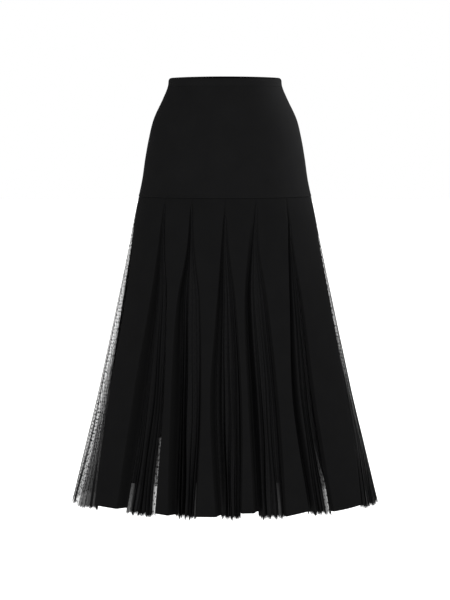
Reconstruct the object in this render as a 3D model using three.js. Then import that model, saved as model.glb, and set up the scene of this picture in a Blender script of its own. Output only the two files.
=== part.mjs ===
// A pull-on midi skirt in its worn, hollow form: an elastic waistband, a smooth jersey hip yoke in two
// halves, and below the drop-hip seam twelve straight jersey panels with a pleated tulle godet let in
// between each two of them. Inside them a plain lining hangs from the same seam to below the knee.
//
// Millimetres, +Z up, front towards -Y. The origin is the middle of the waist opening at its top edge.
// Every piece is one closed wall, made from rings of points round the body at a few heights. A place on a
// ring is an angle in degrees: 0 at the front middle, 90 at the wearer's left side, 180 at the back.
import * as THREE from "three";

const JERSEY_WALL = 1.5;
const TULLE_WALL = 1.0;
const BAND_WALL = 3.0;
const SEAM_GAP = 0.3;

const BAND_HEIGHT = 20;
const BACK_RISE = 6; // the waist's top edge is this much higher at the back
const FRONT_DROP = 5; // and this much lower than the origin at the front
const HIP_SEAM = -250;
const NOMINAL_HEM = -890;

// The hems, measured down from the waist. They lie a little differently at the front and at the sides.
const HEMS = {
  jersey: { side: -886, middle: -892 },
  tulle: { side: -897, middle: -901 },
};

// Half-sizes of the outer surface at each height: to the side, to the front and to the back.
const RINGS = [
  { z: 8, half: 117.5, front: 87, back: 86 },
  { z: 0, half: 118, front: 88, back: 87 },
  { z: -20, half: 119.5, front: 90, back: 90 },
  { z: -46, half: 130, front: 96, back: 99 },
  { z: -88, half: 149.5, front: 106, back: 113 },
  { z: -130, half: 160, front: 113, back: 123 },
  { z: -172, half: 167.5, front: 118, back: 129 },
  { z: -214, half: 173.5, front: 122, back: 132 },
  { z: -250, half: 181, front: 127, back: 135 },
  { z: -300, half: 191.5, front: 135, back: 141 },
  { z: -363, half: 204, front: 145, back: 150 },
  { z: -468, half: 226.5, front: 161, back: 166 },
  { z: -574, half: 249.5, front: 177, back: 182 },
  { z: -681, half: 273, front: 193, back: 198 },
  { z: -787, half: 299, front: 210, back: 214 },
  { z: -910, half: 329, front: 229, back: 232 },
];

// How far the folds have opened at each height, from 0 at the godets' points to 1.
const OPENING = [
  { z: -250, share: 0 },
  { z: -264, share: 0.02 },
  { z: -354, share: 0.22 },
  { z: -455, share: 0.6 },
  { z: -657, share: 1 },
  { z: -910, share: 0.95 },
];

// One row for each godet, round the body. top is the height of its point and apex the point's angle. The
// other columns are the angles of its two long edges at the heights in EDGE_HEIGHTS. folds is the number of
// its pleats, and start and end say how far its two edges lie inside the outer surface.
const EDGE_HEIGHTS = { high: -354, thigh: -455, knee: -657, hem: NOMINAL_HEM };
const GODETS = [
  {
    name: "side_godet_right", top: -264, folds: 6, start: 1.5, end: 1.5, apex: -90,
    high: [-100, -78], thigh: [-105, -73.6], knee: [-112, -66.4], hem: [-124, -57.2],
  },
  {
    name: "front_godet_1", top: -264, folds: 5, start: 23, end: 8, apex: -44.3,
    high: [-44.6, -38.7], thigh: [-45.3, -33.3], knee: [-43.3, -28.8], hem: [-41.5, -26.9],
  },
  {
    name: "front_godet_2", top: -264, folds: 5, start: 23, end: 8, apex: -21.8,
    high: [-23.3, -19], thigh: [-25.4, -14.3], knee: [-21.6, -11.3], hem: [-18.7, -11.1],
  },
  {
    name: "front_godet_3", top: -288, folds: 5, start: 23, end: 8, apex: 0,
    high: [-1.3, 1.4], thigh: [-2.7, 4.5], knee: [-3.8, 6.5], hem: [-1.1, 6.3],
  },
  {
    name: "front_godet_4", top: -264, folds: 5, start: 23, end: 8, apex: 20.4,
    high: [16.1, 19.4], thigh: [13, 21.8], knee: [13.5, 23.2], hem: [14, 22],
  },
  {
    name: "front_godet_5", top: -304, folds: 5, start: 23, end: 8, apex: 44.2,
    high: [42.1, 43.6], thigh: [38.5, 44.4], knee: [33.7, 43], hem: [34.3, 44.1],
  },
  {
    name: "side_godet_left", top: -264, folds: 6, start: 1.5, end: 1.5, apex: 90,
    high: [81.3, 100], thigh: [77.8, 104], knee: [74.2, 106], hem: [61.6, 102],
  },
  {
    name: "back_godet_1", top: -264, folds: 5, start: 23, end: 8, apex: 135,
    high: [133.2, 136.6], thigh: [132, 140], knee: [130, 141], hem: [124, 135],
  },
  {
    name: "back_godet_2", top: -304, folds: 5, start: 23, end: 8, apex: 158,
    high: [156.6, 159.4], thigh: [153, 162], knee: [150.5, 160.5], hem: [146, 155],
  },
  {
    name: "back_godet_3", top: -264, folds: 5, start: 23, end: 8, apex: 179,
    high: [177.4, 180.8], thigh: [174, 182.5], knee: [170, 180.5], hem: [166, 176],
  },
  {
    name: "back_godet_4", top: -264, folds: 5, start: 23, end: 8, apex: 201,
    high: [199.2, 203], thigh: [195, 204], knee: [190, 200.5], hem: [187, 196.5],
  },
  {
    name: "back_godet_5", top: -304, folds: 5, start: 23, end: 8, apex: 224.6,
    high: [223, 226.2], thigh: [217, 226], knee: [211, 222], hem: [207, 218],
  },
];
const POINT_WIDTH = 2; // a godet's width at its point
const PLEAT_DEPTH = 15;
const PLEAT_ROOM = 1.3; // a pleat's half pitch is at least this much before it gets any depth
const PLEAT_SLOPE = 4; // and then gets at most this much depth for each millimetre more

// Heights of the rings that the panels and godets share. Their hems follow.
const LEVELS = [HIP_SEAM - SEAM_GAP / 2, -264, -288, -304, -360, -420, -490, -570, -660, -760, -880];
const YOKE_LEVELS = [-BAND_HEIGHT - SEAM_GAP, -46, -80, -120, -165, -210, HIP_SEAM + SEAM_GAP / 2];
const YOKE_COLUMNS = 20;
const BAND_COLUMNS = 40;
const CORNER_REACH = 2; // at a sharp corner the wall reaches at most this many times its thickness
const LEAST_SLANT = 0.5;

// Where a panel has its points across its width, and the shares of it that turn in towards the godets.
const STRIP = { columns: [0, 0.14, 0.34, 0.6, 0.8, 1], turnStart: 0.34, turnEnd: 0.4 };
const SIDE_PANEL = { columns: [0, 0.07, 0.18, 0.38, 0.6, 0.78, 0.9, 1], turnStart: 0.18, turnEnd: 0.22 };
const PANELS_A_SIDE = 6;

// The lining's rings, and how far they lie inside the outer surface: it keeps clear of the pleats.
const LINING_WALL = 1.0;
const LINING_COLUMNS = 48;
const LINING = [
  { z: HIP_SEAM - SEAM_GAP / 2, inset: 2.4 },
  { z: -264, inset: 4 },
  { z: -288, inset: 6 },
  { z: -304, inset: 8.5 },
  { z: -360, inset: 17 },
  { z: -420, inset: 28 },
  { z: -490, inset: 40 },
  { z: -570, inset: 49 },
  { z: -660, inset: 51 },
  { z: -741, inset: 50 },
];

const MATERIALS = {
  band: new THREE.MeshStandardMaterial({ color: 0x0d0d0e, roughness: 0.8, metalness: 0 }),
  jersey: new THREE.MeshStandardMaterial({ color: 0x0b0b0c, roughness: 0.85, metalness: 0 }),
  tulle: new THREE.MeshStandardMaterial({ color: 0x050505, roughness: 0.9, metalness: 0 }),
  lining: new THREE.MeshStandardMaterial({ color: 0x080809, roughness: 0.7, metalness: 0 }),
};

// A smooth curve through a table's column. Rows go down in z; past the last row the curve runs on straight.
function smooth(rows, read, z) {
  const last = rows.length - 1;
  const slope = (i, j) => (read(rows[j]) - read(rows[i])) / (rows[j].z - rows[i].z);
  if (z >= rows[0].z) return read(rows[0]);
  if (z <= rows[last].z) return read(rows[last]) + slope(last - 1, last) * (z - rows[last].z);
  const i = rows.findIndex((row) => row.z < z) - 1;
  const span = rows[i + 1].z - rows[i].z;
  const t = (z - rows[i].z) / span;
  const leave = slope(Math.max(i - 1, 0), i + 1) * span;
  const arrive = slope(i, Math.min(i + 2, last)) * span;
  const rise = read(rows[i + 1]) - read(rows[i]);
  const bend = leave + arrive - 2 * rise;
  return read(rows[i]) + t * (leave + t * (3 * rise - 2 * leave - arrive + t * bend));
}

function ramp(t) {
  return THREE.MathUtils.smoothstep(t, 0, 1);
}

// The ring's point at an angle, moved in by inset along the ring's own normal.
function ringPoint(angle, z, inset) {
  const turn = THREE.MathUtils.degToRad(angle);
  const half = smooth(RINGS, (row) => row.half, z);
  const depth = smooth(RINGS, (row) => (Math.cos(turn) > 0 ? row.front : row.back), z);
  const normal = new THREE.Vector2(depth * Math.sin(turn), -half * Math.cos(turn)).normalize();
  return new THREE.Vector3(
    half * Math.sin(turn) - inset * normal.x,
    -depth * Math.cos(turn) - inset * normal.y,
    z,
  );
}

// The angle of a godet's first (0) or second (1) long edge at a height.
function edgeAngle(godet, side, z) {
  if (z > godet.top) return godet.apex;
  const knots = [{ z: godet.top, angle: godet.apex }];
  for (const [name, height] of Object.entries(EDGE_HEIGHTS)) {
    knots.push({ z: height, angle: godet[name][side] });
  }
  const half = smooth(RINGS, (row) => row.half, z);
  const spread = THREE.MathUtils.radToDeg(POINT_WIDTH / 2 / half) * (side === 0 ? -1 : 1);
  return smooth(knots, (knot) => knot.angle, z) + spread;
}

// A station is a point of a ring: its angle, height and inset. This one lies a share u of the way between
// two others.
function across(from, to, u, inset) {
  return {
    angle: THREE.MathUtils.lerp(from.angle, to.angle, u),
    z: THREE.MathUtils.lerp(from.z, to.z, u),
    inset,
  };
}

// An edge's station at the height that heightAt gives for its angle.
function edgeStation(godet, side, heightAt) {
  const z = heightAt(edgeAngle(godet, side, heightAt(godet.apex)));
  const open = smooth(OPENING, (row) => row.share, z);
  const inset = (side === 0 ? godet.start : godet.end) * open;
  return { angle: edgeAngle(godet, side, z), z, inset };
}

// Across a godet: every second point is the bottom of a pleat, behind the line between its edges.
function godetStations(godet, heightAt) {
  const from = edgeStation(godet, 0, heightAt);
  const to = edgeStation(godet, 1, heightAt);
  const first = ringPoint(from.angle, from.z, from.inset);
  const width = first.distanceTo(ringPoint(to.angle, to.z, to.inset));
  const steps = 2 * godet.folds;
  const room = PLEAT_SLOPE * Math.max(0, width / steps - PLEAT_ROOM);
  const depth = Math.min(PLEAT_DEPTH * smooth(OPENING, (row) => row.share, from.z), room);
  return Array.from({ length: steps + 1 }, (_, i) => {
    const line = THREE.MathUtils.lerp(from.inset, to.inset, i / steps);
    return across(from, to, i / steps, i % 2 === 0 ? line : line + depth);
  });
}

// Across a panel: a crest on the outer surface, with both edges turned in to the godets beside it.
function panelStations(panel, heightAt) {
  const from = edgeStation(panel.before, 1, heightAt);
  const to = edgeStation(panel.after, 0, heightAt);
  const { columns, turnStart, turnEnd } = panel.cut;
  return columns.map((u) => {
    const start = from.inset * (1 - ramp(u / turnStart));
    const end = to.inset * ramp((u - 1 + turnEnd) / turnEnd);
    return across(from, to, u, start + end);
  });
}

// The direction across the wall at each point of a closed ring, long enough at a corner that both sides of
// the wall keep their distance.
function wallDirections(points) {
  return points.map((point, i) => {
    const before = point.clone().sub(points.at(i - 1)).setZ(0).normalize();
    const after = points[(i + 1) % points.length].clone().sub(point).setZ(0).normalize();
    const along = before.clone().add(after).normalize();
    const reach = Math.min(CORNER_REACH, 1 / Math.max(along.dot(before), 0.01));
    return new THREE.Vector3(along.y, -along.x, 0).multiplyScalar(reach);
  });
}

// One row of a wall, with the points on its outer side.
function wallRow(points, directions, wall) {
  return {
    outer: points,
    inner: points.map((point, i) => point.clone().addScaledVector(directions[i], -wall)),
  };
}

// The rows of the pieces that make up one closed ring. The directions across the wall come from the whole
// ring, so that pieces that meet at a seam are cut along the same line, and each is pulled back from it.
function rowsOfRing(spans) {
  const directions = wallDirections(spans.flatMap(({ points }) => points.slice(0, -1)));
  const rows = new Map();
  let start = 0;
  for (const { name, wall, points } of spans) {
    const last = points.length - 1;
    const own = points.map((_, i) => directions[(start + i) % directions.length]);
    const trimmed = points.map((point) => point.clone());
    for (const [end, next] of [[0, 1], [last, last - 1]]) {
      const inwards = points[next].clone().sub(points[end]).setZ(0).normalize();
      const cut = own[end].clone().normalize();
      const slant = Math.max(inwards.clone().cross(cut).length(), LEAST_SLANT);
      trimmed[end].addScaledVector(inwards, SEAM_GAP / 2 / slant);
    }
    rows.set(name, wallRow(trimmed, own, wall));
    start += last;
  }
  return rows;
}

// A closed wall through its rows, from the top row down.
function wallGeometry(rows, closed) {
  const columns = rows[0].outer.length;
  const layer = rows.length * columns;
  const positions = [];
  for (const side of ["outer", "inner"]) {
    for (const row of rows) {
      for (const point of row[side]) positions.push(point.x, point.y, point.z);
    }
  }
  const index = [];
  const quad = (a, b, c, d) => index.push(a, b, c, a, c, d);
  const outer = (row, column) => row * columns + (column % columns);
  const inner = (row, column) => layer + outer(row, column);
  const lastRow = rows.length - 1;
  const spans = closed ? columns : columns - 1;
  for (let c = 0; c < spans; c += 1) {
    for (let r = 0; r < lastRow; r += 1) {
      quad(outer(r, c), outer(r + 1, c), outer(r + 1, c + 1), outer(r, c + 1));
      quad(inner(r, c), inner(r, c + 1), inner(r + 1, c + 1), inner(r + 1, c));
    }
    quad(outer(0, c), outer(0, c + 1), inner(0, c + 1), inner(0, c));
    quad(outer(lastRow, c + 1), outer(lastRow, c), inner(lastRow, c), inner(lastRow, c + 1));
  }
  for (let r = 0; r < lastRow && !closed; r += 1) {
    quad(outer(r, 0), inner(r, 0), inner(r + 1, 0), outer(r + 1, 0));
    quad(outer(r, spans), outer(r + 1, spans), inner(r + 1, spans), inner(r, spans));
  }
  const geometry = new THREE.BufferGeometry();
  geometry.setAttribute("position", new THREE.Float32BufferAttribute(positions, 3));
  geometry.setIndex(index);
  geometry.computeVertexNormals();
  return geometry;
}

function named(name, geometry, material) {
  const mesh = new THREE.Mesh(geometry, material);
  mesh.name = name;
  return mesh;
}

// One closed row of a tube, with its points all the way round.
function tubeRow(columns, wall, inset, heightAt) {
  const points = Array.from({ length: columns }, (_, i) => {
    const angle = (360 * i) / columns;
    return ringPoint(angle, heightAt(THREE.MathUtils.degToRad(angle)), inset);
  });
  return wallRow(points, wallDirections(points), wall);
}

// The elastic band: a ring whose top edge rises towards the back.
function makeWaistband() {
  const topAt = (turn) => BACK_RISE * ((1 - Math.cos(turn)) / 2) ** 2 - FRONT_DROP;
  const edges = [topAt, () => -BAND_HEIGHT];
  const rows = edges.map((heightAt) => tubeRow(BAND_COLUMNS, BAND_WALL, 0, heightAt));
  return named("waistband", wallGeometry(rows, true), MATERIALS.band);
}

function makeLining() {
  const rows = LINING.map(({ z, inset }) => tubeRow(LINING_COLUMNS, LINING_WALL, inset, () => z));
  return named("lining", wallGeometry(rows, true), MATERIALS.lining);
}

// The hip yoke's front and back, each from one side seam to the other.
function makeYoke() {
  const starts = { yoke_front: -90, yoke_back: 90 };
  const rings = YOKE_LEVELS.map((z) => {
    const spans = Object.entries(starts).map(([name, start]) => {
      const points = Array.from({ length: YOKE_COLUMNS + 1 }, (_, i) => {
        return ringPoint(start + (180 * i) / YOKE_COLUMNS, z, 0);
      });
      return { name, wall: JERSEY_WALL, points };
    });
    return rowsOfRing(spans);
  });
  return Object.keys(starts).map((name) => {
    return named(name, wallGeometry(rings.map((ring) => ring.get(name)), false), MATERIALS.jersey);
  });
}

// The pieces below the drop-hip seam, in order round the body: a godet, then the panel after it.
function lowerPieces() {
  return GODETS.flatMap((godet, i) => {
    const after = GODETS[(i + 1) % GODETS.length];
    const wide = i % PANELS_A_SIDE === 0 || i % PANELS_A_SIDE === PANELS_A_SIDE - 1;
    const face = i < PANELS_A_SIDE ? "front" : "back";
    const panel = {
      name: `${face}_panel_${(i % PANELS_A_SIDE) + 1}`,
      before: godet,
      after: i + 1 < GODETS.length ? after : turnedOnce(after),
      cut: wide ? SIDE_PANEL : STRIP,
    };
    return [{ ...godet, godet }, panel];
  });
}

// The same godet, met again after a whole turn.
function turnedOnce(godet) {
  const turned = { ...godet, apex: godet.apex + 360 };
  for (const name of Object.keys(EDGE_HEIGHTS)) turned[name] = godet[name].map((angle) => angle + 360);
  return turned;
}

// Each lower piece's wall row on one ring. A godet has none above its point.
function lowerRows(pieces, heightAt) {
  const spans = [];
  for (const piece of pieces) {
    const isGodet = piece.godet !== undefined;
    if (isGodet && heightAt(piece.apex) > piece.top) continue;
    const stations = isGodet ? godetStations(piece, heightAt) : panelStations(piece, heightAt);
    const points = stations.map(({ angle, z, inset }) => ringPoint(angle, z, inset));
    spans.push({ name: piece.name, wall: isGodet ? TULLE_WALL : JERSEY_WALL, points });
  }
  return rowsOfRing(spans);
}

// A hem's height at an angle.
function hemAt(hem) {
  return (angle) => {
    const middle = Math.cos(THREE.MathUtils.degToRad(angle)) ** 2;
    return THREE.MathUtils.lerp(hem.side, hem.middle, middle);
  };
}

function makePanelsAndGodets() {
  const pieces = lowerPieces();
  const rings = LEVELS.map((level) => lowerRows(pieces, () => level));
  const hems = { jersey: lowerRows(pieces, hemAt(HEMS.jersey)), tulle: lowerRows(pieces, hemAt(HEMS.tulle)) };
  return pieces.map((piece) => {
    const cloth = piece.godet === undefined ? "jersey" : "tulle";
    const rows = rings.map((ring) => ring.get(piece.name)).filter((row) => row !== undefined);
    rows.push(hems[cloth].get(piece.name));
    return named(piece.name, wallGeometry(rows, false), MATERIALS[cloth]);
  });
}

const skirt = new THREE.Group();
skirt.add(makeWaistband());
skirt.add(...makeYoke());
skirt.add(...makePanelsAndGodets());
skirt.add(makeLining());

export default skirt;
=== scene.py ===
# A pull-on midi skirt in its worn, hollow form. Black jersey makes the waistband, the hip yoke and twelve
# straight panels, and a godet of dotted black tulle is let in between each two panels.
#
# Metres, +Z up, front towards -Y. A place round the body is an angle in degrees: 0 at the front middle, 90
# at the wearer's left side and 180 at the back.
import math

import bpy
import numpy as np
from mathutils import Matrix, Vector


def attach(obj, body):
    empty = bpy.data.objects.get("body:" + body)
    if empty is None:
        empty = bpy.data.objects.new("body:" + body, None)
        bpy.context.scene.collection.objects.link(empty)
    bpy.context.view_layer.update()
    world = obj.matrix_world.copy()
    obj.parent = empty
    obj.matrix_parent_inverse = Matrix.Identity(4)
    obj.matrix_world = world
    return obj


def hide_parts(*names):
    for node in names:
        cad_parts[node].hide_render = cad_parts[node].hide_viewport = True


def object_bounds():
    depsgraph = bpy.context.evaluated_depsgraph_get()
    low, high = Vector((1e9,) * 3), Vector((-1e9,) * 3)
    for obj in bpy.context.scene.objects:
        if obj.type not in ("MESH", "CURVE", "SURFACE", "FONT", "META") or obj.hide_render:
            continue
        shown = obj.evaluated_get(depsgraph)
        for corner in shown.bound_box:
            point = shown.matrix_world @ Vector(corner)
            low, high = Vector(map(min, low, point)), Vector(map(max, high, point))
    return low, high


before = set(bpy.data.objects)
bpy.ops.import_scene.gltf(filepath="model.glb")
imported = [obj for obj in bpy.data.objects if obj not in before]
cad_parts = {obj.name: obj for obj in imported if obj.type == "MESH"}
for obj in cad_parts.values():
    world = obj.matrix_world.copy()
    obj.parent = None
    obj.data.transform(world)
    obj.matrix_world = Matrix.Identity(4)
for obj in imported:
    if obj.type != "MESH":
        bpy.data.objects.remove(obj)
cad_low, cad_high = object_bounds()
bpy.ops.object.select_all(action="DESELECT")

# ---- Camera and floor ------------------------------------------------------------------------------------
# The camera stands five metres in front of the skirt, just below its waist, with a long lens, and looks a
# little down. The floor is one plain pale sheet, well below the hem.
CAMERA_PLACE = (0, -5, -0.06)
CAMERA_DOWN = 4.67  # degrees
SENSOR_WIDTH = 36  # millimetres
LENS = 142.9  # millimetres
FLOOR_BELOW_HEM = 0.15
FLOOR_SIZE = 40
FLOOR_DARK = 0.86
FLOOR_PALE = 0.9
FLOOR_GRAINS = 40
FLOOR_GLOW = 0.68


def add_node(material, kind, inputs, **settings):
    """A shader node with its settings. An input is a number, a colour or another node's output."""
    made = material.node_tree.nodes.new(kind)
    for name, value in settings.items():
        setattr(made, name, value)
    for name, value in inputs.items():
        if isinstance(value, bpy.types.NodeSocket):
            material.node_tree.links.new(value, made.inputs[name])
        else:
            made.inputs[name].default_value = value
    return made


bpy.ops.object.camera_add(location=CAMERA_PLACE, rotation=(math.radians(90 - CAMERA_DOWN), 0, 0))
camera = bpy.context.object
camera.data.sensor_width = SENSOR_WIDTH
camera.data.lens = LENS
bpy.context.scene.camera = camera

bpy.ops.mesh.primitive_plane_add(size=FLOOR_SIZE, location=(0, 0, cad_low.z - FLOOR_BELOW_HEM))
floor = bpy.context.object
floor.name = "floor"
floor_paint = bpy.data.materials.new("pale_floor")
floor_paint.use_nodes = True
floor_shader = floor_paint.node_tree.nodes["Principled BSDF"]
floor_place = add_node(floor_paint, "ShaderNodeTexCoord", {})
floor_grain = add_node(
    floor_paint, "ShaderNodeTexNoise", {"Vector": floor_place.outputs["Object"], "Scale": FLOOR_GRAINS}
)
floor_tint = add_node(
    floor_paint, "ShaderNodeMix", {"Factor": floor_grain.outputs["Fac"]}, data_type="RGBA"
)
floor_tint.inputs["A"].default_value = (FLOOR_DARK, FLOOR_DARK, FLOOR_DARK, 1)
floor_tint.inputs["B"].default_value = (FLOOR_PALE, FLOOR_PALE, FLOOR_PALE, 1)
floor_paint.node_tree.links.new(floor_tint.outputs["Result"], floor_shader.inputs["Base Color"])
floor_shader.inputs["Roughness"].default_value = 0.9
floor_shader.inputs["Emission Color"].default_value = (1, 1, 1, 1)
floor_shader.inputs["Emission Strength"].default_value = FLOOR_GLOW
floor.data.materials.append(floor_paint)

# ---- Waistband -------------------------------------------------------------------------------------------
# A casing of the same jersey, folded over a flat elastic and sewn to the yoke. Its top edge dips a little at
# the front and rises at the back.
BAND_HEIGHT = 0.020
BACK_RISE = 0.006
FRONT_DROP = 0.0044
BAND_FILLING = 0.0022  # how thick the elastic inside the casing is
BAND_CLOTH = 0.0007
BAND_RIPPLE = 0.00006  # depth of the fine ripples that the elastic draws up in the casing
BAND_RIPPLES = 96  # and how many of them run round the waist
BAND_ROUNDED = 0.007  # the part below the top edge that leans in to the waist
BAND_LEAN = 0.0035
BAND_SHADE = 0.0066

# The knit of the jersey and its dye, and the painted shade in its folds. The colour of a place is the
# shade of the piece times one of these.
LOOP_WIDTH = 0.001
LOOP_HEIGHT = 0.0008
LOOP_DEPTH = 0.00012
DEEP_DYE = (0.86, 0.86, 0.89)
THIN_DYE = (1.14, 1.14, 1.17)
# Painted shade: the darker colour of the jersey where it rolls in to a godet.
PAINTED_FOLD_SHADE = (0.85, 0.85, 0.87)

# The skirt's outer surface: height, half-width, and how far it reaches to the front and to the back.
RINGS = np.array(
    [
        (0.008, 0.1175, 0.087, 0.086),
        (0.000, 0.118, 0.088, 0.087),
        (-0.020, 0.1195, 0.090, 0.090),
        (-0.046, 0.130, 0.096, 0.099),
        (-0.088, 0.1495, 0.106, 0.113),
        (-0.130, 0.160, 0.113, 0.123),
        (-0.172, 0.1675, 0.118, 0.129),
        (-0.214, 0.1735, 0.122, 0.132),
        (-0.250, 0.181, 0.127, 0.135),
        (-0.300, 0.1915, 0.135, 0.141),
        (-0.363, 0.204, 0.145, 0.150),
        (-0.468, 0.2265, 0.161, 0.166),
        (-0.574, 0.2495, 0.177, 0.182),
        (-0.681, 0.273, 0.193, 0.198),
        (-0.787, 0.299, 0.210, 0.214),
        (-0.910, 0.329, 0.229, 0.232),
    ]
)


def smooth(heights, values, z):
    """A smooth curve through the values at falling heights. It runs on straight below the last."""
    heights, values = np.asarray(heights, float), np.asarray(values, float)
    last = len(heights) - 1
    ahead = np.minimum(np.arange(last + 1) + 1, last)
    behind = np.maximum(np.arange(last + 1) - 1, 0)
    slopes = (values[ahead] - values[behind]) / (heights[ahead] - heights[behind])
    i = np.clip(np.searchsorted(-heights, -z, side="right") - 1, 0, last - 1)
    span = heights[i + 1] - heights[i]
    t = (z - heights[i]) / span
    leave, arrive, rise = slopes[i] * span, slopes[i + 1] * span, values[i + 1] - values[i]
    curve = values[i] + t * (leave + t * (3 * rise - 2 * leave - arrive + t * (leave + arrive - 2 * rise)))
    below = values[last] + slopes[last] * (z - heights[last])
    return np.where(t < 0, values[0], np.where(t > 1, below, curve))


def ring(angle, z, inset):
    """Points of the outer surface, moved inwards by inset."""
    turn = np.radians(angle)
    half, front, back = (smooth(RINGS[:, 0], RINGS[:, i], z) for i in (1, 2, 3))
    depth = np.where(np.cos(turn) > 0, front, back)
    out = np.stack([depth * np.sin(turn), -half * np.cos(turn)])
    out = out / np.linalg.norm(out, axis=0)
    return np.stack([half * np.sin(turn) - inset * out[0], -depth * np.cos(turn) - inset * out[1], z], axis=-1)


def cloth(name, columns, rows, lay):
    """A piece of cloth: a grid primitive whose crossings lay() puts in place, with its UV map in metres.
    lay() gets two arrays, each from 0 to 1: across, and down from the top edge."""
    bpy.ops.mesh.primitive_grid_add(x_subdivisions=columns, y_subdivisions=rows, size=2)
    piece = bpy.context.object
    piece.name = name
    mesh = piece.data
    mesh.name = name
    corners = np.empty(3 * len(mesh.vertices), np.float32)
    mesh.vertices.foreach_get("co", corners)
    corners = corners.reshape(-1, 3).astype(float)
    order = np.lexsort((corners[:, 0], -corners[:, 1]))
    shape = (rows + 1, columns + 1)
    u = ((corners[order, 0] + 1) / 2).reshape(shape)
    v = ((1 - corners[order, 1]) / 2).reshape(shape)
    points = lay(u, v)
    corners[order] = points.reshape(-1, 3)
    mesh.vertices.foreach_set("co", corners.astype(np.float32).ravel())
    across = np.linalg.norm(np.diff(points, axis=1), axis=2).cumsum(axis=1)
    across = np.hstack([np.zeros((rows + 1, 1)), across])
    across = across - across[:, -1:] / 2
    drop = points[:1, :, 2] - points[:, :, 2]
    flat = np.empty((len(corners), 2))
    flat[order] = np.stack([across, -drop], axis=-1).reshape(-1, 2)
    owner = np.empty(len(mesh.loops), np.int32)
    mesh.loops.foreach_get("vertex_index", owner)
    mesh.uv_layers[0].data.foreach_set("uv", flat[owner].astype(np.float32).ravel())
    mesh.update()
    bpy.ops.object.shade_smooth()
    return piece, points, order


def join_ends():
    """Sews the two ends of the cloth together into a ring."""
    bpy.ops.object.mode_set(mode="EDIT")
    bpy.ops.mesh.select_all(action="SELECT")
    bpy.ops.mesh.remove_doubles(threshold=0.00002)
    bpy.ops.mesh.normals_make_consistent(inside=False)
    bpy.ops.object.mode_set(mode="OBJECT")


def thicken(piece, wall):
    """Gives the cloth its thickness, inwards from the outer surface."""
    bpy.ops.object.modifier_add(type="SOLIDIFY")
    piece.modifiers[-1].thickness = wall
    piece.modifiers[-1].offset = -1
    bpy.ops.object.modifier_apply(modifier=piece.modifiers[-1].name)
    bpy.ops.object.shade_smooth_by_angle(angle=math.radians(40))


def math_nodes(material):
    """A function that adds one Math node after another to the material."""

    def maths(operation, a, b=0.0, c=0.0):
        return add_node(material, "ShaderNodeMath", {0: a, 1: b, 2: c}, operation=operation).outputs[0]

    return maths


def make_jersey(name, shade):
    """Black viscose jersey: fine ribs of knit loops, a faint unevenness of the dye, and a soft nap."""
    made = bpy.data.materials.new(name)
    made.use_nodes = True
    maths = math_nodes(made)
    shader = made.node_tree.nodes["Principled BSDF"]
    place = add_node(made, "ShaderNodeTexCoord", {})
    parts = add_node(made, "ShaderNodeSeparateXYZ", {"Vector": place.outputs["UV"]})
    x, y = parts.outputs["X"], parts.outputs["Y"]
    wale = maths("PINGPONG", x, LOOP_WIDTH / 2)
    loop = maths("SINE", maths("MULTIPLY", maths("MULTIPLY_ADD", wale, 1.1, y), 2 * math.pi / LOOP_HEIGHT))
    rib = maths("SINE", maths("MULTIPLY", x, 2 * math.pi / LOOP_WIDTH))
    knit = maths("MULTIPLY_ADD", rib, 0.6, maths("MULTIPLY", loop, 0.4))
    spot = place.outputs["Object"]
    dye = add_node(made, "ShaderNodeTexNoise", {"Vector": spot, "Scale": 22, "Detail": 3, "Roughness": 0.6})
    nap = add_node(made, "ShaderNodeTexNoise", {"Vector": spot, "Scale": 900, "Detail": 2})
    tone = add_node(made, "ShaderNodeMix", {"Factor": dye.outputs["Fac"]}, data_type="RGBA")
    tone.inputs["A"].default_value = (*(shade * part for part in DEEP_DYE), 1)
    tone.inputs["B"].default_value = (*(shade * part for part in THIN_DYE), 1)
    # The "turned" attribute mixes in painted shade, a darker colour where the jersey rolls in to a godet.
    turned = add_node(made, "ShaderNodeAttribute", {}, attribute_name="turned")
    tone_with_painted_shade = add_node(made, "ShaderNodeMix", {"Factor": turned.outputs["Fac"]}, data_type="RGBA")
    made.node_tree.links.new(tone.outputs["Result"], tone_with_painted_shade.inputs["A"])
    tone_with_painted_shade.inputs["B"].default_value = (*(shade * part for part in PAINTED_FOLD_SHADE), 1)
    made.node_tree.links.new(tone_with_painted_shade.outputs["Result"], shader.inputs["Base Color"])
    rough = maths("MULTIPLY_ADD", nap.outputs["Fac"], 0.16, 0.78)
    made.node_tree.links.new(rough, shader.inputs["Roughness"])
    bump = add_node(made, "ShaderNodeBump", {"Height": knit, "Strength": 0.35, "Distance": LOOP_DEPTH})
    made.node_tree.links.new(bump.outputs["Normal"], shader.inputs["Normal"])
    shader.inputs["Specular IOR Level"].default_value = 0.008
    shader.inputs["Sheen Weight"].default_value = 0.001
    shader.inputs["Sheen Roughness"].default_value = 0.5
    return made


def finish_piece(piece, material, slot, *nodes):
    """Dresses a piece in its material and puts it in the place of its solids."""
    piece.data.materials.clear()
    piece.data.materials.append(material)
    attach(piece, "root")
    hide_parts(*nodes)


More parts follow.
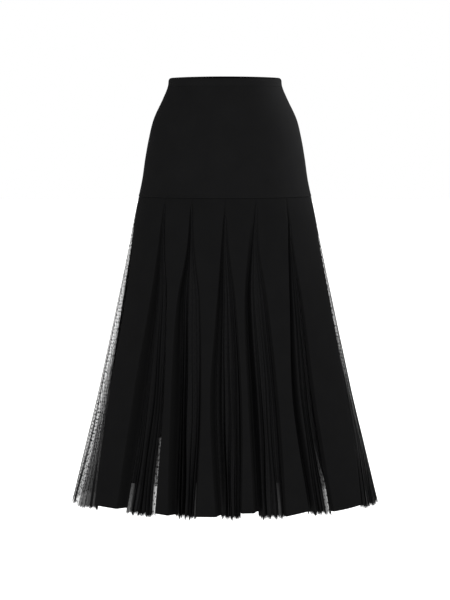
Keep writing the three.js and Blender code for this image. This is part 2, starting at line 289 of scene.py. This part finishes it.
def lay_band(u, v):
    """The casing runs up the outside, over the top and down the inside."""
    angle = 360 * u - 180
    top = BACK_RISE * ((1 - np.cos(np.radians(angle))) / 2) ** 2 - FRONT_DROP
    bend = BAND_FILLING / 2
    straight = top + BAND_HEIGHT - bend
    length = 2 * straight + math.pi * bend
    way = (1 - v) * length
    outside, inside = way < straight, way > straight + math.pi * bend
    turned = np.clip((way - straight) / bend, 0, math.pi)
    down_inside = top - bend - (way - straight - math.pi * bend)
    z = np.where(outside, -BAND_HEIGHT + way, np.where(inside, down_inside, 0))
    z = np.where(outside | inside, z, top - bend + bend * np.sin(turned))
    inset = bend - bend * np.cos(turned)
    middle = np.sin(math.pi * np.clip(way / length, 0, 1)) ** 2
    uneven = 1.5 * np.sin(np.radians(angle) * 7)
    ripple = BAND_RIPPLE * np.sin(np.radians(angle) * BAND_RIPPLES + uneven) * middle
    lean = BAND_LEAN * np.clip((z - top + BAND_ROUNDED) / BAND_ROUNDED, 0, 1) ** 2
    return ring(angle, z, inset + ripple + lean)


band_jersey = make_jersey("waistband_jersey", BAND_SHADE)
waistband, _, _ = cloth("elastic_waistband", 288, 20, lay_band)
join_ends()
thicken(waistband, BAND_CLOTH)
finish_piece(waistband, band_jersey, "waistband", "waistband")

# ---- Hip yoke --------------------------------------------------------------------------------------------
# The smooth top of the skirt: a front and a back of black jersey, sewn together at the sides. Its lower
# edge is turned and stitched down over the tops of the panels.
HIP_SEAM = -0.250
YOKE_TOP = -0.0203
YOKE_SHADE = 0.0062
JERSEY_WALL = 0.0012
SEAM_MEETS = 0.0003  # how far yoke and panels reach past the middle of the hip seam
SEAM_DIP = 0.0006  # the groove along the hip seam
SEAM_DIP_WIDTH = 0.0008
SIDE_SEAM_DIP = 0.0008  # the groove down each side seam
SIDE_SEAM_WIDTH = 0.0015
HIP_RIDGE = 0.0007  # the allowance that lifts the yoke's lower edge, most of all at one place
RIDGE_ABOVE_SEAM = 0.003
RIDGE_WIDTH = 0.0016
RIDGE_PLACE = -32
RIDGE_SPREAD = 26
MEAN_DEPTH = 0.12  # how far the yoke reaches to the front and to the back, for its girth
YOKE_SAG = 0.0005


def dip(distance, width):
    """1 on a line, falling away to 0 on both sides of it."""
    return np.exp(-((distance / width) ** 2))


def lay_yoke(start):
    def lay(u, v):
        # The rows and columns lie closer at the seams.
        u = u - 0.65 * np.sin(2 * math.pi * u) / (2 * math.pi)
        v = 1 - (1 - v) ** 1.5
        angle = start + 180 * u
        z = YOKE_TOP + (HIP_SEAM + SEAM_MEETS - YOKE_TOP) * v
        above = z - HIP_SEAM
        girth = 0.5 * math.pi * (smooth(RINGS[:, 0], RINGS[:, 1], z) + MEAN_DEPTH)
        side = dip(np.minimum(u, 1 - u) * girth, SIDE_SEAM_WIDTH)
        lifted = HIP_RIDGE * (0.8 + 1.0 * dip(angle - RIDGE_PLACE, RIDGE_SPREAD))
        ridge = lifted * dip(above - RIDGE_ABOVE_SEAM, RIDGE_WIDTH)
        inset = SIDE_SEAM_DIP * side - ridge + SEAM_DIP * dip(above, SEAM_DIP_WIDTH)
        sag = YOKE_SAG * np.sin(np.radians(angle) * 3 + 9 * z) * np.sin(math.pi * v)
        return ring(angle, z, inset + sag)

    return lay


yoke_jersey = make_jersey("yoke_jersey", YOKE_SHADE)
for half, start in (("front", -90), ("back", 90)):
    piece, _, _ = cloth(f"yoke_{half}_jersey", 130, 60, lay_yoke(start))
    thicken(piece, JERSEY_WALL)
    finish_piece(piece, yoke_jersey, "jersey", f"yoke_{half}")

# ---- Lining ----------------------------------------------------------------------------------------------
# An underskirt of plain thin black knit, caught into the hip seam. It hangs free inside the panels and stops
# a hand's breadth above the hem, so the godets are dark down to there and let light through below it.
LINING = [
    # height and how far it hangs inside the outer surface
    (-0.25015, 0.0024), (-0.264, 0.004), (-0.288, 0.006), (-0.304, 0.0085), (-0.360, 0.017), (-0.420, 0.028),
    (-0.490, 0.040), (-0.570, 0.049), (-0.660, 0.051), (-0.741, 0.050),
]  # fmt: skip
LINING_SHADE = 0.0058
LINING_WALL = 0.0007
LINING_FOLDS = 0.0022  # depth of its eleven wide folds
LINING_WAVES = 0.0012  # and of the smaller waves across them
LINING_HEM = 0.012  # how high its hem is turned up
LINING_HEM_STEP = 0.0003
FOLD_EDGE = 0.0015  # the height over which the edge of a turned hem fades out


def lining_inset(z):
    """How far the lining hangs inside the outer surface, without its folds."""
    return smooth([row[0] for row in LINING], [row[1] for row in LINING], z)


def ramp(t):
    """0 up to t = 0, 1 from t = 1, and an even curve between them."""
    t = np.clip(t, 0, 1)
    return t * t * (3 - 2 * t)


def lay_lining(u, v):
    turn = 2 * math.pi * (u - 0.5)
    z = LINING[0][0] + (LINING[-1][0] - LINING[0][0]) * v
    folds = LINING_FOLDS * np.sin(11 * turn + 2 * np.sin(2 * turn))
    drape = folds + LINING_WAVES * np.sin(23 * turn + 5 * v) + 0.0014
    hem_fold = LINING_HEM_STEP * ramp((z - LINING[-1][0] - LINING_HEM) / FOLD_EDGE)
    return ring(np.degrees(turn), z, lining_inset(z) + drape * ramp((v - 0.12) / 0.5) + hem_fold)


lining_knit = make_jersey("lining_knit", LINING_SHADE)
lining, _, _ = cloth("knit_lining", 240, 50, lay_lining)
join_ends()
thicken(lining, LINING_WALL)
finish_piece(lining, lining_knit, "lining", "lining")

# ---- Jersey panels ---------------------------------------------------------------------------------------
# Twelve straight-hanging panels below the hip seam, six to the front and six to the back. Each rolls in
# to the godets beside it, deep along its right edge, where the rolled-in jersey is darkened by painted
# shade, and ends in a clean narrow hem. Left and right are as seen from outside.
EDGE_HEIGHTS = (-0.354, -0.455, -0.657, -0.890)
GODETS = [
    # name, height and angle of its point, then the angles of its two long edges at the heights above
    ("side_godet_right", -0.264, -90, (-100, -105, -112, -124), (-75.1, -68.5, -64.6, -57.4)),
    ("front_godet_1", -0.264, -42.7, (-42.1, -41.9, -42, -41.3), (-38.7, -33.3, -28.8, -26.9)),
    ("front_godet_2", -0.264, -21.8, (-22.1, -24.6, -21.6, -18.7), (-19, -14.3, -11.3, -11.1)),
    ("front_godet_3", -0.288, 0, (-1.3, -2.7, -3.8, -1.1), (1.4, 4.5, 6.5, 5.4)),
    ("front_godet_4", -0.264, 20.4, (16.1, 13, 13.5, 13.3), (19.4, 21.8, 23.2, 22)),
    ("front_godet_5", -0.304, 44.2, (42.1, 38.5, 33.7, 34.3), (43.6, 44.4, 43, 43)),
    ("side_godet_left", -0.264, 90, (81.3, 77.8, 72, 61.6), (100, 104, 106, 102)),
    ("back_godet_1", -0.264, 135, (133.2, 132, 130, 124), (136.6, 140.5, 143, 138.5)),
    ("back_godet_2", -0.304, 158, (156.6, 153, 150.5, 146), (159.4, 162, 160.5, 155)),
    ("back_godet_3", -0.264, 179, (177.4, 174, 170, 166), (180.8, 182.5, 180.5, 176)),
    ("back_godet_4", -0.264, 201, (199.2, 195, 190, 187), (203, 204, 200.5, 196.5)),
    ("back_godet_5", -0.304, 224.6, (223, 217, 211, 207), (226.2, 226, 222, 218)),
]
POINT_WIDTH = 0.002  # how wide a godet is at its point
# How far the folds are open, at each height.
OPENING = ((-0.250, 0), (-0.264, 0.02), (-0.354, 0.24), (-0.455, 0.6), (-0.657, 1), (-0.910, 0.95))
VALLEY = 0.025  # how far the panel's right edge has rolled in, with the godet's left edge
SHELF = 0.008  # and its left edge, with the godet's right edge
SIDE_ROLL = 0.0015  # and both at the two side godets
FLANKS_START = -0.38
FLANKS_GROW = 0.3  # the height over which the right flanks reach their full width
LEFT_FLANK = 0.003  # how wide the part of a panel is that rolls in, at its left edge
# and at its right edge, above and below where the flanks grow
RIGHT_FLANKS = [
    (0.003, 0.012), (0.002, 0.012), (0.003, 0.011), (0.008, 0.014), (0.006, 0.010), (0.003, 0.003),
    (0.003, 0.010), (0.002, 0.013), (0.004, 0.009), (0.003, 0.011), (0.004, 0.009), (0.003, 0.003),
]  # fmt: skip
PANEL_SHADE = 0.0055
PANEL_SEAM = 0.0008  # the groove along the seam with a godet
PANEL_SEAM_WIDTH = 0.0016
PANEL_WAVES = 0.0006
PANEL_HEM = 0.015  # how high the hem is turned up
PANEL_HEM_STEP = 0.0004
# Each panel's hem, at its left and at its right edge.
PANEL_HEMS = [
    (-0.884, -0.886), (-0.888, -0.893), (-0.892, -0.892), (-0.885, -0.885), (-0.894, -0.884), (-0.891, -0.886),
    (-0.887, -0.885), (-0.886, -0.890), (-0.891, -0.892), (-0.892, -0.888), (-0.888, -0.886), (-0.886, -0.884),
]  # fmt: skip


def opening(z):
    """How far the folds are open at the height z, from 0 to 1."""
    return smooth([row[0] for row in OPENING], [row[1] for row in OPENING], z)


def edge_angle(godet, side, z):
    """The angle of a godet's first (0) or second (1) long edge."""
    _, top, apex, *edges = godet
    angle = smooth((top, *EDGE_HEIGHTS), (apex, *edges[side]), z)
    spread = np.degrees(POINT_WIDTH / 2 / smooth(RINGS[:, 0], RINGS[:, 1], z)) * (-1 if side == 0 else 1)
    return np.where(z > top, apex, angle + spread)


def roll(godet, side):
    """How far a godet's edge lies inside the outer surface once the folds are fully open."""
    if godet[0].startswith("side"):
        return SIDE_ROLL
    return VALLEY if side == 0 else SHELF


def lay_panel(before, after, turned, hems, flanks, seed):
    phases = np.random.default_rng(seed).uniform(0, 2 * math.pi, 3)

    def lay(u, v):
        # The columns lie closer at the two edges.
        u = 0.25 * u + 0.75 * (1 - np.cos(math.pi * u)) / 2
        hem = hems[0] + (hems[1] - hems[0]) * u
        top = HIP_SEAM - SEAM_MEETS
        z = top + (hem - top) * v
        first, second = edge_angle(before, 1, z), edge_angle(after, 0, z) + turned
        angle = first + (second - first) * u
        width = np.radians(second - first) * 0.85 * smooth(RINGS[:, 0], RINGS[:, 1], z)
        flank = flanks[0] + (flanks[1] - flanks[0]) * ramp((FLANKS_START - z) / FLANKS_GROW)
        left = roll(before, 1) * (1 - ramp(u * width / LEFT_FLANK))
        right = roll(after, 0) * (1 - ramp(((1 - u) * width / flank - 0.2) / 0.8))
        seams = dip(np.minimum(u, 1 - u) * width, PANEL_SEAM_WIDTH)
        soft = np.sin(19 * z + phases[0]) + np.sin(7 * z + 4 * u + phases[1]) + 0.5 * np.sin(41 * z + phases[2])
        inset = (left + right) * opening(z) + PANEL_SEAM * seams
        waves = PANEL_WAVES * soft * np.sin(math.pi * u) * ramp(v / 0.15)
        hem_fold = PANEL_HEM_STEP * ramp((z - hem - PANEL_HEM + FOLD_EDGE / 3) / FOLD_EDGE)
        return ring(angle, z, inset + waves + hem_fold)

    return lay


def outwards(points):
    """The level direction out of the skirt at each point, as it is on an oval twice as wide as deep."""
    out = np.stack([points[..., 0] / 0.1, points[..., 1] / 0.05], axis=-1)
    return out / np.linalg.norm(out, axis=-1, keepdims=True)


def mark_painted_fold_shade(piece, points, order):
    """Stores how far the jersey is rolled in, as the strength of the painted shade on that part."""
    along = np.gradient(points, axis=1)[..., :2]
    falls = -(along * outwards(points)).sum(axis=-1) / (np.linalg.norm(along, axis=-1) + 1e-9)
    turned = np.empty(len(piece.data.vertices))
    turned[order] = ramp((np.maximum.accumulate(falls, axis=1) - 0.35) / 0.5).ravel()
    # The "turned" attribute holds how strong the painted shade is at each point.
    stored = piece.data.attributes.new("turned", "FLOAT", "POINT")
    stored.data.foreach_set("value", turned.astype(np.float32))


panel_jersey = make_jersey("panel_jersey", PANEL_SHADE)
panel_names = [f"{face}_panel_{i}" for face in ("front", "back") for i in range(1, 7)]
for i, name in enumerate(panel_names):
    wide = i % 6 in (0, 5)
    after, turned = (GODETS[i + 1], 0) if i < 11 else (GODETS[0], 360)
    lay = lay_panel(GODETS[i], after, turned, PANEL_HEMS[i], RIGHT_FLANKS[i], 40 + i)
    piece, points, order = cloth(f"{name}_jersey", 60 if wide else 48, 110, lay)
    # Painted shade on the part of the panel that rolls in.
    mark_painted_fold_shade(piece, points, order)
    thicken(piece, JERSEY_WALL)
    finish_piece(piece, panel_jersey, "jersey", name)

# ---- Godets ----------------------------------------------------------------------------------------------
# Triangles of fine black tulle with small woven dots, sewn in between the panels from a point just below the
# hip seam and left raw at the hem. The wide hem of each is crowded into a narrow gap, so it falls in deep
# irregular pleats. The two over the side seams open much wider and hang almost plain.
TULLE_HEM = -0.897
TULLE_DIP = 0.004  # how much lower it hangs at the front middle
GODET_CUT = (0.17, 0.637)
SIDE_CUTS = {"side_godet_right": (0.42, 0.640), "side_godet_left": (0.30, 0.640)}
PANEL_GAP = 0.05  # how wide a godet lies at the hem, for its pleats
SIDE_GAP = 0.30
TUCKED = 0.03  # the share of the width that goes on behind each panel's edge
SIDE_TUCKED = 0.012
FRINGE_WAVES = 0.0022
FRINGE_TUFTS = 0.0007
TUFTS = 400
SEAM_TUCK = 0.0016  # how much deeper a godet lies at its two seams
CRIMP = 0.0011  # depth of the fine crimps in the hidden part of each pleat
LINING_CLEAR = 0.0025  # how far the pleats stay off the lining
NET_PITCH = 0.0011
NET_COVER = 0.28  # the share of the light that one layer of net keeps back
NET_DEEP = (0.0028, 0.0028, 0.003, 1)
# Painted highlight: the paler colour of the streaks where fine gathers would catch the light.
NET_PAINTED_HIGHLIGHT = (0.0062, 0.0062, 0.0065, 1)
DOT_PITCH = (0.0105, 0.015)
DOT_RADIUS = 0.0022
DOT_COVER = 0.97
DOT_COLOUR = (0.0032, 0.0032, 0.0034, 1)
FRAY_LENGTH = 0.024  # how much farther up the hem frays at its thinnest places
# Across each godet from left to right: kind of pleats, share of the width, and how many.
PLEATS = {
    "front_godet_1": [("full", 0.17, 1), ("soft", 0.2, 2), ("deep", 0.47, 4), ("loose", 0.16, 1)],
    "front_godet_2": [("deep", 0.86, 5), ("soft", 0.14, 1)],
    "front_godet_3": [("deep", 0.6, 3), ("packed", 0.4, 3)],
    "front_godet_4": [("packed", 0.72, 4), ("full", 0.08, 1), ("packed", 0.2, 1)],
    "front_godet_5": [("packed", 0.6, 4), ("soft", 0.1, 1), ("loose", 0.27, 1), ("soft", 0.03, 1)],
    "back_godet_1": [("soft", 0.16, 1), ("deep", 0.56, 4), ("loose", 0.28, 2)],
    "back_godet_2": [("deep", 0.75, 5), ("soft", 0.25, 2)],
    "back_godet_3": [("soft", 0.25, 2), ("deep", 0.58, 4), ("loose", 0.17, 1)],
    "back_godet_4": [("deep", 0.8, 5), ("soft", 0.2, 1)],
    "back_godet_5": [("loose", 0.34, 2), ("deep", 0.46, 4), ("soft", 0.2, 1)],
    "side_godet_right": [
        ("deep", 0.03, 2), ("wavy", 0.27, 2), ("flat", 0.38, 2), ("crisp", 0.05, 2), ("flat", 0.10, 1),
        ("full", 0.09, 3), ("soft", 0.08, 3),
    ],
    "side_godet_left": [
        ("packed", 0.14, 3), ("soft", 0.28, 4), ("full", 0.14, 3), ("flat", 0.34, 3), ("deep", 0.1, 2),
    ],
}  # fmt: skip
# The share of a godet's width over which it comes up from behind the panel on its left.
CLIMBS = {"front_godet_1": 0.6, "front_godet_2": 0.3, "front_godet_3": 0.45, "front_godet_5": 0.3}
USUAL_CLIMB = 0.2
# The depth of each kind at the hem, and how many layers of finer gathers lie on each other in it.
PLEAT_KINDS = {
    "flat": (0.0012, 2.05), "wavy": (0.003, 1.95), "full": (0.003, 7.5), "crisp": (0.006, 2.4),
    "loose": (0.006, 2.4), "soft": (0.008, 10), "packed": (0.007, 20), "deep": (0.015, 18),
}  # fmt: skip


def make_tulle():
    """Soft net of very fine black yarn. It covers more where it is folded steeply, and has opaque dots."""
    made = bpy.data.materials.new("dotted_tulle")
    made.use_nodes = True
    maths = math_nodes(made)
    shader = made.node_tree.nodes["Principled BSDF"]
    place = add_node(made, "ShaderNodeTexCoord", {})

    def fade(value, near, far):
        step = add_node(
            made,
            "ShaderNodeMapRange",
            {"Value": value, "From Min": near, "From Max": far, "To Min": 1.0, "To Max": 0.0},
            interpolation_type="SMOOTHSTEP",
        )
        return step.outputs["Result"]

    flat = place.outputs["UV"]
    yarns = []
    for turn in (30, 150):
        way = (math.cos(math.radians(turn)) / NET_PITCH, math.sin(math.radians(turn)) / NET_PITCH, 0)
        across = add_node(made, "ShaderNodeVectorMath", {0: flat, 1: way}, operation="DOT_PRODUCT")
        yarns.append(fade(maths("PINGPONG", across.outputs["Value"], 0.5), 0.05, 0.17))
    net = maths("MULTIPLY_ADD", maths("MAXIMUM", yarns[0], yarns[1]), 0.62, 0.04)
    parts = add_node(made, "ShaderNodeSeparateXYZ", {"Vector": flat})
    beside = maths("PINGPONG", parts.outputs["X"], DOT_PITCH[0] / 2)
    above = maths("PINGPONG", parts.outputs["Y"], DOT_PITCH[1] / 2)
    centres = []
    for x, y in (
        (beside, above),
        (maths("SUBTRACT", DOT_PITCH[0] / 2, beside), maths("SUBTRACT", DOT_PITCH[1] / 2, above)),
    ):
        centres.append(maths("SQRT", maths("MULTIPLY_ADD", x, x, maths("MULTIPLY", y, y))))
    dots = fade(maths("MINIMUM", centres[0], centres[1]), DOT_RADIUS * 0.8, DOT_RADIUS * 1.15)
    gather = add_node(made, "ShaderNodeAttribute", {}, attribute_name="gather")
    behind = maths("POWER", 1 - NET_COVER, maths("SUBTRACT", gather.outputs["Fac"], 1.0))
    covered = maths("SUBTRACT", 1.0, maths("MULTIPLY", maths("SUBTRACT", 1.0, net), behind))
    cloth_cover = maths("MAXIMUM", covered, maths("MULTIPLY", dots, DOT_COVER))
    # A long stretched noise sets how far up the raw hem frays, and also places painted highlight streaks.
    long_grain = add_node(made, "ShaderNodeVectorMath", {0: flat, 1: (260, 9, 1)}, operation="MULTIPLY")
    fray_and_highlight_noise = add_node(
        made, "ShaderNodeTexNoise", {"Vector": long_grain.outputs["Vector"], "Detail": 2, "Roughness": 0.6}
    )
    height = add_node(made, "ShaderNodeAttribute", {}, attribute_name="above_hem")
    thin = maths("SUBTRACT", fray_and_highlight_noise.outputs["Fac"], 0.36)
    above_fray = maths("MULTIPLY_ADD", thin, -FRAY_LENGTH, height.outputs["Fac"])
    unfrayed = maths("SUBTRACT", 1.0, fade(above_fray, -0.001, 0.0022))
    made.node_tree.links.new(maths("MULTIPLY", cloth_cover, unfrayed), shader.inputs["Alpha"])
    # Painted highlights: the net is paler along these streaks, as where fine gathers would catch the light.
    painted_highlight_streaks = add_node(
        made,
        "ShaderNodeMapRange",
        {"Value": fray_and_highlight_noise.outputs["Fac"], "From Min": 0.5, "From Max": 0.8, "To Min": 0.0, "To Max": 1.0},
        interpolation_type="SMOOTHSTEP",
    )
    net_tone = add_node(made, "ShaderNodeMix", {"Factor": painted_highlight_streaks.outputs["Result"]}, data_type="RGBA")
    net_tone.inputs["A"].default_value = NET_DEEP
    net_tone.inputs["B"].default_value = NET_PAINTED_HIGHLIGHT
    tone = add_node(made, "ShaderNodeMix", {"Factor": dots}, data_type="RGBA")
    made.node_tree.links.new(net_tone.outputs["Result"], tone.inputs["A"])
    tone.inputs["B"].default_value = DOT_COLOUR
    made.node_tree.links.new(tone.outputs["Result"], shader.inputs["Base Color"])
    rough = maths("MULTIPLY_ADD", dots, 0.2, 0.6)
    made.node_tree.links.new(rough, shader.inputs["Roughness"])
    shader.inputs["Specular IOR Level"].default_value = 0.05
    return made


def pleat_line(name, seed, gap):
    """The pleats of one godet's hem: bounds of each along the cloth, where each starts across the gap, its
    width, depth, lean and layers."""
    rng = np.random.default_rng(seed)
    widths, depths, leans, layers = [], [], [], []
    for kind, share, count in PLEATS[name]:
        uneven = rng.uniform(0.45, 1.55, count)
        widths.extend(share * uneven / uneven.sum())
        depths.extend(PLEAT_KINDS[kind][0] * rng.uniform(0.5, 1.3, count))
        leans.extend(rng.uniform(-0.1, 0.7, count))
        layers.extend([PLEAT_KINDS[kind][1]] * count)
    widths, depths, leans = np.array(widths), np.array(depths), np.array(leans)
    lengths = gap * widths + 2 * depths
    bounds = np.concatenate([[0], np.cumsum(lengths)]) / lengths.sum()
    starts = np.concatenate([[0], np.cumsum(widths)])
    return bounds, starts, widths, depths, leans, np.array(layers)


def lay_godet(godet, seed, cut, pleats, drop):
    name, top = godet[0], godet[1]
    at_side = name.startswith("side")
    tuck = SIDE_TUCKED if at_side else TUCKED
    bounds, starts, widths, depths, leans, _ = pleats
    rng = np.random.default_rng(seed + 100)
    phases = rng.uniform(0, 2 * math.pi, 12)
    tufts = rng.uniform(-1, 1, TUFTS)
    shelf, valley = roll(godet, 1), roll(godet, 0)

    def lay(u, v):
        k = np.clip(np.searchsorted(bounds, u, side="right") - 1, 0, len(widths) - 1)
        phase = 2 * math.pi * (u - bounds[k]) / (bounds[k + 1] - bounds[k])
        dive = (1 - np.cos(phase)) / 2
        share = starts[k] + widths[k] * (phase / (2 * math.pi) + leans[k] * dive)
        wander = np.sin(9 * v + phases[0] + 5 * share) + 0.6 * np.sin(17 * v + phases[11] - 9 * share)
        share = share + 0.04 * wander * 4 * share * (1 - share) * v
        tuft = tufts[np.round(u * (TUFTS - 1)).astype(int)]
        fringe = FRINGE_WAVES * np.sin(25 * share + phases[1]) + FRINGE_TUFTS * tuft
        z = top + (TULLE_HEM - drop + fringe - top) * v
        first, second = edge_angle(godet, 0, z), edge_angle(godet, 1, z)
        wide = share * (1 + 2 * tuck) - tuck
        angle = first + (second - first) * wide
        behind = 1 - ramp(np.clip(share, 0, 1) / CLIMBS.get(name, USUAL_CLIMB))
        line = shelf + (valley - shelf) * behind
        tucked = SEAM_TUCK * (1 - ramp((0.5 - np.abs(share - 0.5)) / 0.03))
        # The pleats are as deep as the cloth there is at this height, over the gap it has to cross.
        fabric = cut[0] * v
        reach = smooth(RINGS[:, 0], RINGS[:, 1], z) * np.radians(second - first) * 0.8
        depth = np.sqrt(np.clip(fabric**2 - reach**2, 0, None)) / cut[0]
        depth = depth * (ramp((v - 0.74) / 0.22) if at_side else 1)
        drift = 1 + 0.25 * np.sin(6 * v + phases[2 + k % 8])
        crimp = CRIMP * np.sin(3 * phase + 7 * v + phases[2 + k % 8]) * v * dive
        edge = line * opening(z) + tucked
        pleat = depths[k] * dive * depth * drift + crimp
        # The lining leaves them little room, and more below its hem.
        room = lining_inset(z) - LINING_CLEAR + np.clip(LINING[-1][0] - z, 0, None) - edge
        room = np.maximum(room, 0.0005)
        return ring(angle, z, edge + room * (1 - np.exp(-pleat / room)))

    return lay


def mark_gathers(piece, points, order, pleats, at_side):
    """Stores how many layers of net lie behind each other at each point: the finer gathers of its pleat, and
    more of them where the pleat turns away. Also stores the height above the raw hem. A side godet is a
    single layer near its point, and the others open a little towards the hem."""
    bounds, layers = pleats[0], pleats[-1]
    u = np.linspace(0, 1, points.shape[1])
    finer = np.interp(u, (bounds[1:] + bounds[:-1]) / 2, layers)
    v = np.linspace(0, 1, points.shape[0])[:, None]
    crowded = ramp((v - 0.38) / 0.62) if at_side else 1.7 - 0.7 * ramp((v - 0.78) / 0.22)
    finer = 1 + (finer - 1) * crowded
    along, out = np.gradient(points, axis=1), outwards(points)
    length = np.linalg.norm(along[..., :2], axis=-1) + 1e-9
    facing = np.abs(along[..., 0] * out[..., 1] - along[..., 1] * out[..., 0]) / length
    gather = np.empty(len(piece.data.vertices))
    gather[order] = (finer / np.sqrt(np.clip(facing, 0.05, 1))).ravel()
    above_hem = np.empty(len(piece.data.vertices))
    above_hem[order] = (points[..., 2] - points[-1:, :, 2]).ravel()
    for name, values in (("gather", gather), ("above_hem", above_hem)):
        stored = piece.data.attributes.new(name, "FLOAT", "POINT")
        stored.data.foreach_set("value", values.astype(np.float32))


tulle = make_tulle()
for i, godet in enumerate(GODETS):
    name = godet[0]
    at_side = name.startswith("side")
    cut = SIDE_CUTS[name] if at_side else GODET_CUT
    drop = TULLE_DIP * max(0, math.cos(math.radians(godet[2]))) ** 2
    pleats = pleat_line(name, 7 + i, SIDE_GAP if at_side else PANEL_GAP)
    lay = lay_godet(godet, 7 + i, cut, pleats, drop)
    piece, points, order = cloth(f"{name}_tulle", 260 if at_side else 170, 90, lay)
    mark_gathers(piece, points, order, pleats, at_side)
    finish_piece(piece, tulle, "tulle", name)

# ---- Light -----------------------------------------------------------------------------------------------
# A white room all round, one large soft lamp in front, and a small one close to the wearer's left hip that
# draws a paler line down the side of the yoke.
room = bpy.data.worlds.new("white_room")
room.use_nodes = True
room.node_tree.nodes["Background"].inputs["Color"].default_value = (1, 1, 1, 1)
room.node_tree.nodes["Background"].inputs["Strength"].default_value = 1.0
bpy.context.scene.world = room
bpy.context.scene.view_settings.view_transform = "Standard"
bpy.context.scene.cycles.transparent_max_bounces = 48
LAMPS = [
    # name, place, the place it points at, size, spread in degrees, and power in watts
    ("front_lamp", (1.0, -2.9, 1.0), (0, 0, -0.4), 1.6, 120, 12),
    ("side_lamp", (1.07, 0.43, 0.25), (0.12, 0, -0.07), 0.35, 34, 1.25),
]
for name, place, aim, size, spread, power in LAMPS:
    bpy.ops.object.light_add(type="AREA", location=place)
    lamp = bpy.context.object
    lamp.name = name
    lamp.data.size = size
    lamp.data.spread = math.radians(spread)
    lamp.data.energy = power
    lamp.visible_camera = False
    away = np.array(place) - np.array(aim)
    flat_away = math.hypot(away[0], away[1])
    lamp.rotation_euler = (math.atan2(flat_away, away[2]), 0, math.atan2(away[0], -away[1]))
